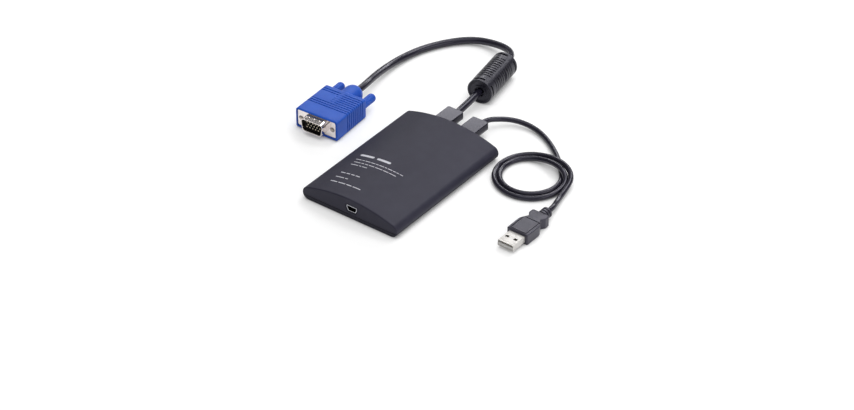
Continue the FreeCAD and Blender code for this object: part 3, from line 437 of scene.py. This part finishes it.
paint(case_plastic, "top_cover")
paint(base_plastic, "bottom_cover")
paint(screw_steel, "case_screws", "thumbscrew_shank_left", "thumbscrew_shank_right")
paint(board_mask, "main_board")
paint(chip_plastic, "video_chip", "memory_chip", "usb_chip")
paint(can_metal, "crystal", "capacitors")
paint(header_plastic, "video_header", "usb_header")
paint(wire_jacket, "video_wires", "usb_wires")
paint(port_nickel_painted_shade, "port_shell")
paint(black_plastic, "port_tongue", "video_plug_insulator")
paint(gold, "port_contacts", "usb_plug_contacts")
paint(pins_painted_shade, "video_plug_pins")
paint(relief_rubber, "video_strain_relief", "usb_strain_relief")
paint(ferrite_plastic, "ferrite_sleeve")
paint(ferrite_grey, "ferrite_core")
paint(blue_plastic, "video_plug_body", "thumbscrew_knob_left", "thumbscrew_knob_right")
paint(nickel, "video_plug_shell")
paint(usb_plastic, "usb_plug_body")
paint(bright_steel, "usb_plug_shell")
paint(tongue_painted_shade, "usb_plug_tongue")


def case_top(x):
    """Height of the arched top of the case, in mm."""
    return case_crown - case_top_radius + math.sqrt(case_top_radius**2 - x**2)


def words_of(line, dice):
    """Left and right ends of the words on one printed line."""
    start, right, _, height = line
    words = []
    while start < right:
        end = start + height * dice.uniform(shortest_word, longest_word)
        if right - end < height * (shortest_word + word_gap):
            end = right
        words.append((start, end))
        start = end + height * word_gap
    return words


def add_word(form, left, right, y, height):
    """One word as a thin bar with round ends, laid on the arch of the case."""
    half = height / 2
    steps = max(fewest_columns, round((right - left) / print_columns))
    turns = [math.pi / 2 * i / round_end_steps for i in range(round_end_steps)]
    offsets = [half * (1 - math.cos(turn)) for turn in turns]
    places = [left + offset for offset in offsets]
    places += [left + half + (right - left - height) * i / steps for i in range(steps + 1)]
    places += [right - offset for offset in reversed(offsets)]
    rows = []
    for x in places:
        inside = max(0.0, half - min(x - left, right - x))
        reach = max(narrowest_print, math.sqrt(half**2 - inside**2))
        top = case_top(x) + print_rise
        foot = top - 2 * print_rise
        corners = ((-reach, foot), (-reach, top), (reach, top), (reach, foot))
        rows.append([form.verts.new(Vector((x, y + dy, z)) * mm) for dy, z in corners])
    for row, following in zip(rows, rows[1:]):
        for i in range(len(row) - 1):
            form.faces.new((row[i], following[i], following[i + 1], row[i + 1]))
    form.faces.new(rows[0])
    form.faces.new(list(reversed(rows[-1])))


def make_case_print():
    """Plain bars in place of the printed words on the case."""
    dice = random.Random(print_seed)
    form = bmesh.new()
    for line in printed_lines:
        _, _, y, height = line
        for left, right in words_of(line, dice):
            add_word(form, left, right, y, height)
    bmesh.ops.recalc_face_normals(form, faces=form.faces)
    piece = add_form("case_print", form, print_ink)
    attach(piece, "adapter")


make_case_print()
video_cord = cord_curve("video_lead", video_route, video_cord_diameter)
usb_cord = cord_curve("thin_lead", usb_lead_route + loose_turns() + usb_tail_route, usb_cord_diameter)
for cord in (video_cord, usb_cord):
    cord.data.materials.append(jacket)
    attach(cord, "adapter")
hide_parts("video_cord")
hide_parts("usb_cord_lead", "usb_cord_coil", "usb_cord_tail")


def aim(piece, azimuth, elevation, distance):
    """Puts a camera or a lamp around the target, and turns it to look there."""
    turn, rise = math.radians(azimuth), math.radians(elevation)
    out = Vector((math.sin(turn) * math.cos(rise), -math.cos(turn) * math.cos(rise), math.sin(rise)))
    piece.location = view_target + out * distance
    piece.rotation_euler = (-out).to_track_quat("-Z", "Y").to_euler()


def add_camera():
    """The camera of the photograph."""
    camera = add_piece("camera", bpy.data.cameras.new("camera"))
    camera.data.sensor_width = sensor_width
    camera.data.lens = view_lens
    aim(camera, view_azimuth, view_elevation, view_distance)
    bpy.context.scene.camera = camera


def add_softbox(name, azimuth, elevation, width, height, power):
    """A large soft lamp that looks at the object."""
    lamp = bpy.data.lights.new(name, "AREA")
    lamp.shape = "RECTANGLE"
    lamp.size = width
    lamp.size_y = height
    lamp.energy = power
    aim(add_piece(name, lamp), azimuth, elevation, lamp_distance)


def add_floor():
    """Plain white floor that keeps the soft shadows."""
    form = bmesh.new()
    bmesh.ops.create_grid(form, x_segments=1, y_segments=1, size=floor_half_width)
    floor = add_form("floor", form, floor_white())
    floor.location.z = -floor_drop


def add_world():
    """Surroundings like a studio tent: white at the foot of the backdrop, dim above it, bright overhead."""
    world = bpy.data.worlds.new("surroundings")
    world.use_nodes = True
    bpy.context.scene.world = world
    tree = world.node_tree
    toward = tree.nodes.new("ShaderNodeTexCoord")
    parts = tree.nodes.new("ShaderNodeSeparateXYZ")
    tree.links.new(toward.outputs["Generated"], parts.inputs["Vector"])
    ramp = tree.nodes.new("ShaderNodeValToRGB")
    stops = ramp.color_ramp.elements
    # A new ramp has two stops already
    for height, _ in world_levels[len(stops):]:
        stops.new(height)
    for stop, (height, level) in zip(stops, world_levels):
        stop.position = height
        stop.color = (level, level, level, 1)
    tree.links.new(parts.outputs["Z"], ramp.inputs["Fac"])
    tree.links.new(ramp.outputs["Color"], tree.nodes["Background"].inputs["Color"])


add_camera()
add_floor()
add_world()
for name, settings in lamps.items():
    add_softbox(name, *settings)
bpy.context.scene.view_settings.view_transform = "Standard"
